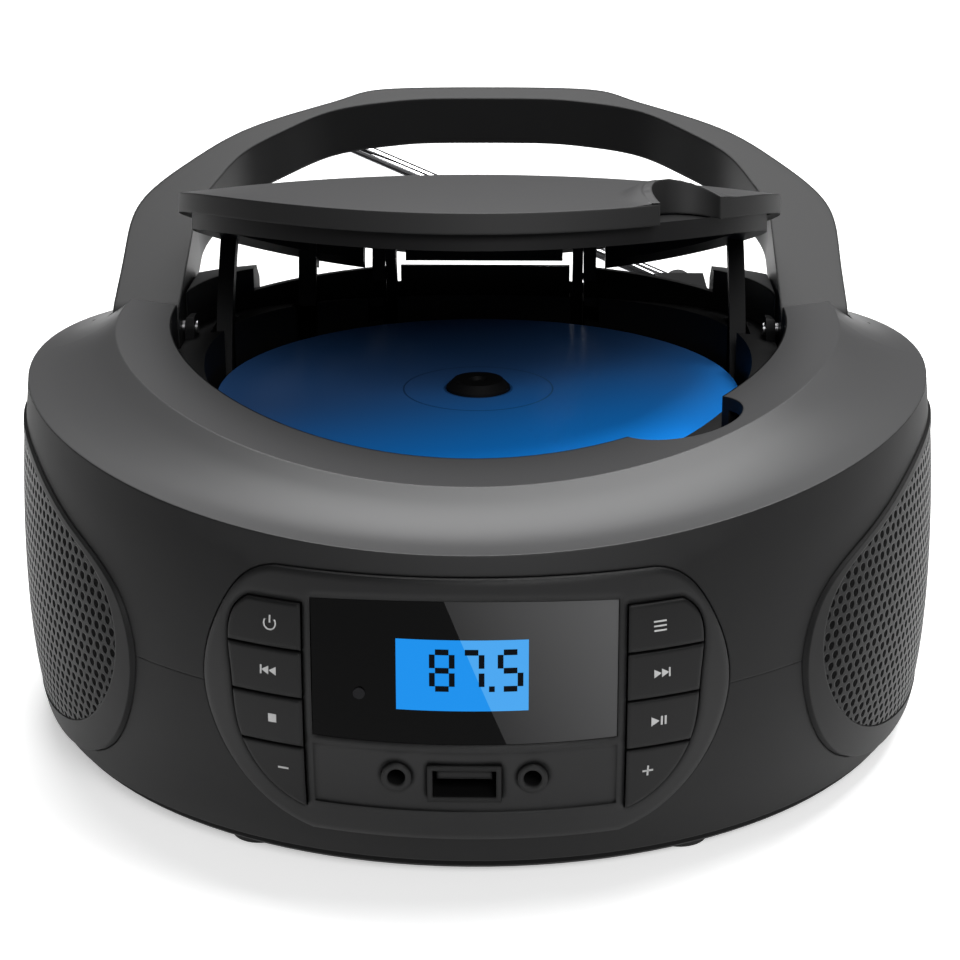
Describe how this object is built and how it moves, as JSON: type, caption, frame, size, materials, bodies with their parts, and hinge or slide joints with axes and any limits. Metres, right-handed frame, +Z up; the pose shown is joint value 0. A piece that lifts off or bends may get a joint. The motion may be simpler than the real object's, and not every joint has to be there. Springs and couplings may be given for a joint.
{
  "type": "tabletop CD radio",
  "caption": "Round tabletop CD radio with hinged disc lid, folding carry handle, side speakers, front display and keys, folded telescopic aerial.",
  "frame": {"origin": "on the floor under the middle of the bounding box", "axes": "+Z up, the front panel faces -Y, +X to the right seen from the front"},
  "size_m": [0.2064, 0.2164, 0.1273],
  "materials": {
    "cabinet_grey": "satin metallic grey moulded plastic",
    "cabinet_dark": "fine matte dark plastic",
    "black_plastic": "matte black plastic",
    "rubber": "matte",
    "panel_black": "gloss black plastic",
    "lens": "polished black window",
    "lcd_blue": "lit blue display",
    "board": "circuit board",
    "jack_plastic": "gloss",
    "polycarbonate": "blue mirror disc",
    "steel": "plain",
    "lid_grey": "satin grey plastic",
    "handle_grey": "satin grey plastic",
    "chrome": "polished",
    "button_black": "satin black keys",
    "grille_dark": "perforated painted sheet",
    "cone_paper": "black paper cone"
  },
  "bodies": {
    "cabinet": {"antenna_base": "black_plastic", "aux_jack": "jack_plastic", "base_plate": "black_plastic", "cd_well": "black_plastic", "deck_chassis": "black_plastic", "display_lens": "lens", "feet": "rubber", "front_panel": "panel_black", "handle_pins": "steel", "headphone_jack": "jack_plastic", "key_board": "board", "lcd_module": "lcd_blue", "lid_hinge_pins": "steel", "lower_cabinet": "cabinet_dark", "main_board": "board", "pickup_rails": "steel", "power_inlet": "black_plastic", "speaker_cone_left": "cone_paper", "speaker_cone_right": "cone_paper", "speaker_driver_left": "black_plastic", "speaker_driver_right": "black_plastic", "speaker_grille_left": "grille_dark", "speaker_grille_right": "grille_dark", "speaker_pod_left": "panel_black", "speaker_pod_right": "panel_black", "spindle_motor": "steel", "transformer": "steel", "upper_cabinet": "cabinet_grey", "usb_port": "black_plastic"},
    "lid": {"lid_cover": "lid_grey", "lid_frame": "black_plastic"},
    "carry_handle": {"handle": "handle_grey"},
    "disc": {"disc": "polycarbonate", "spindle_hub": "polycarbonate"},
    "pickup": {"optical_pickup": "black_plastic"},
    "aerial": {"antenna_tube": "chrome"},
    "aerial_middle": {"antenna_middle": "chrome"},
    "aerial_tip": {"antenna_tip": "chrome"},
    "key_power": {"button_power": "button_black"},
    "key_previous": {"button_previous": "button_black"},
    "key_stop": {"button_stop": "button_black"},
    "key_volume_down": {"button_volume_down": "button_black"},
    "key_mode": {"button_mode": "button_black"},
    "key_next": {"button_next": "button_black"},
    "key_play": {"button_play": "button_black"},
    "key_volume_up": {"button_volume_up": "button_black"}
  },
  "joints": [
    {"name": "lid_hinge", "type": "hinge", "parent": "cabinet", "child": "lid", "pos_m": [0, 0.0838, 0.052], "axis": [-1, 0, 0], "range_deg": [-19, 0], "stiffness_Nm_per_rad": 0.15, "springref_deg": 20.05},
    {"name": "handle_hinge", "type": "hinge", "parent": "cabinet", "child": "carry_handle", "pos_m": [0, 0.01864, 0.08087], "axis": [1, 0, 0], "range_deg": [0, 65]},
    {"name": "disc_spin", "type": "hinge", "parent": "cabinet", "child": "disc", "pos_m": [0, 0.0038, 0.068], "axis": [0, 0, 1], "continuous": true},
    {"name": "pickup_slide", "type": "slide", "parent": "cabinet", "child": "pickup", "axis": [0, -1, 0], "range_m": [0, 0.024]},
    {"name": "aerial_tilt", "type": "hinge", "parent": "cabinet", "child": "aerial", "pos_m": [0.052, 0.1048, 0.069], "axis": [0, 1, 0], "range_deg": [0, 66.7]},
    {"name": "aerial_slide_middle", "type": "slide", "parent": "aerial", "child": "aerial_middle", "axis": [-0.9184, 0, 0.3955], "range_m": [0, 0.085]},
    {"name": "aerial_slide_tip", "type": "slide", "parent": "aerial_middle", "child": "aerial_tip", "axis": [-0.9184, 0, 0.3955], "range_m": [0, 0.085]},
    {"name": "press_power", "type": "slide", "parent": "cabinet", "child": "key_power", "axis": [0, 1, 0], "range_m": [0, 0.0008], "stiffness_N_per_m": 200, "springref_m": -0.0005},
    {"name": "press_previous", "type": "slide", "parent": "cabinet", "child": "key_previous", "axis": [0, 1, 0], "range_m": [0, 0.0008], "stiffness_N_per_m": 200, "springref_m": -0.0005},
    {"name": "press_stop", "type": "slide", "parent": "cabinet", "child": "key_stop", "axis": [0, 1, 0], "range_m": [0, 0.0008], "stiffness_N_per_m": 200, "springref_m": -0.0005},
    {"name": "press_volume_down", "type": "slide", "parent": "cabinet", "child": "key_volume_down", "axis": [0, 1, 0], "range_m": [0, 0.0008], "stiffness_N_per_m": 200, "springref_m": -0.0005},
    {"name": "press_mode", "type": "slide", "parent": "cabinet", "child": "key_mode", "axis": [0, 1, 0], "range_m": [0, 0.0008], "stiffness_N_per_m": 200, "springref_m": -0.0005},
    {"name": "press_next", "type": "slide", "parent": "cabinet", "child": "key_next", "axis": [0, 1, 0], "range_m": [0, 0.0008], "stiffness_N_per_m": 200, "springref_m": -0.0005},
    {"name": "press_play", "type": "slide", "parent": "cabinet", "child": "key_play", "axis": [0, 1, 0], "range_m": [0, 0.0008], "stiffness_N_per_m": 200, "springref_m": -0.0005},
    {"name": "press_volume_up", "type": "slide", "parent": "cabinet", "child": "key_volume_up", "axis": [0, 1, 0], "range_m": [0, 0.0008], "stiffness_N_per_m": 200, "springref_m": -0.0005}
  ]
}
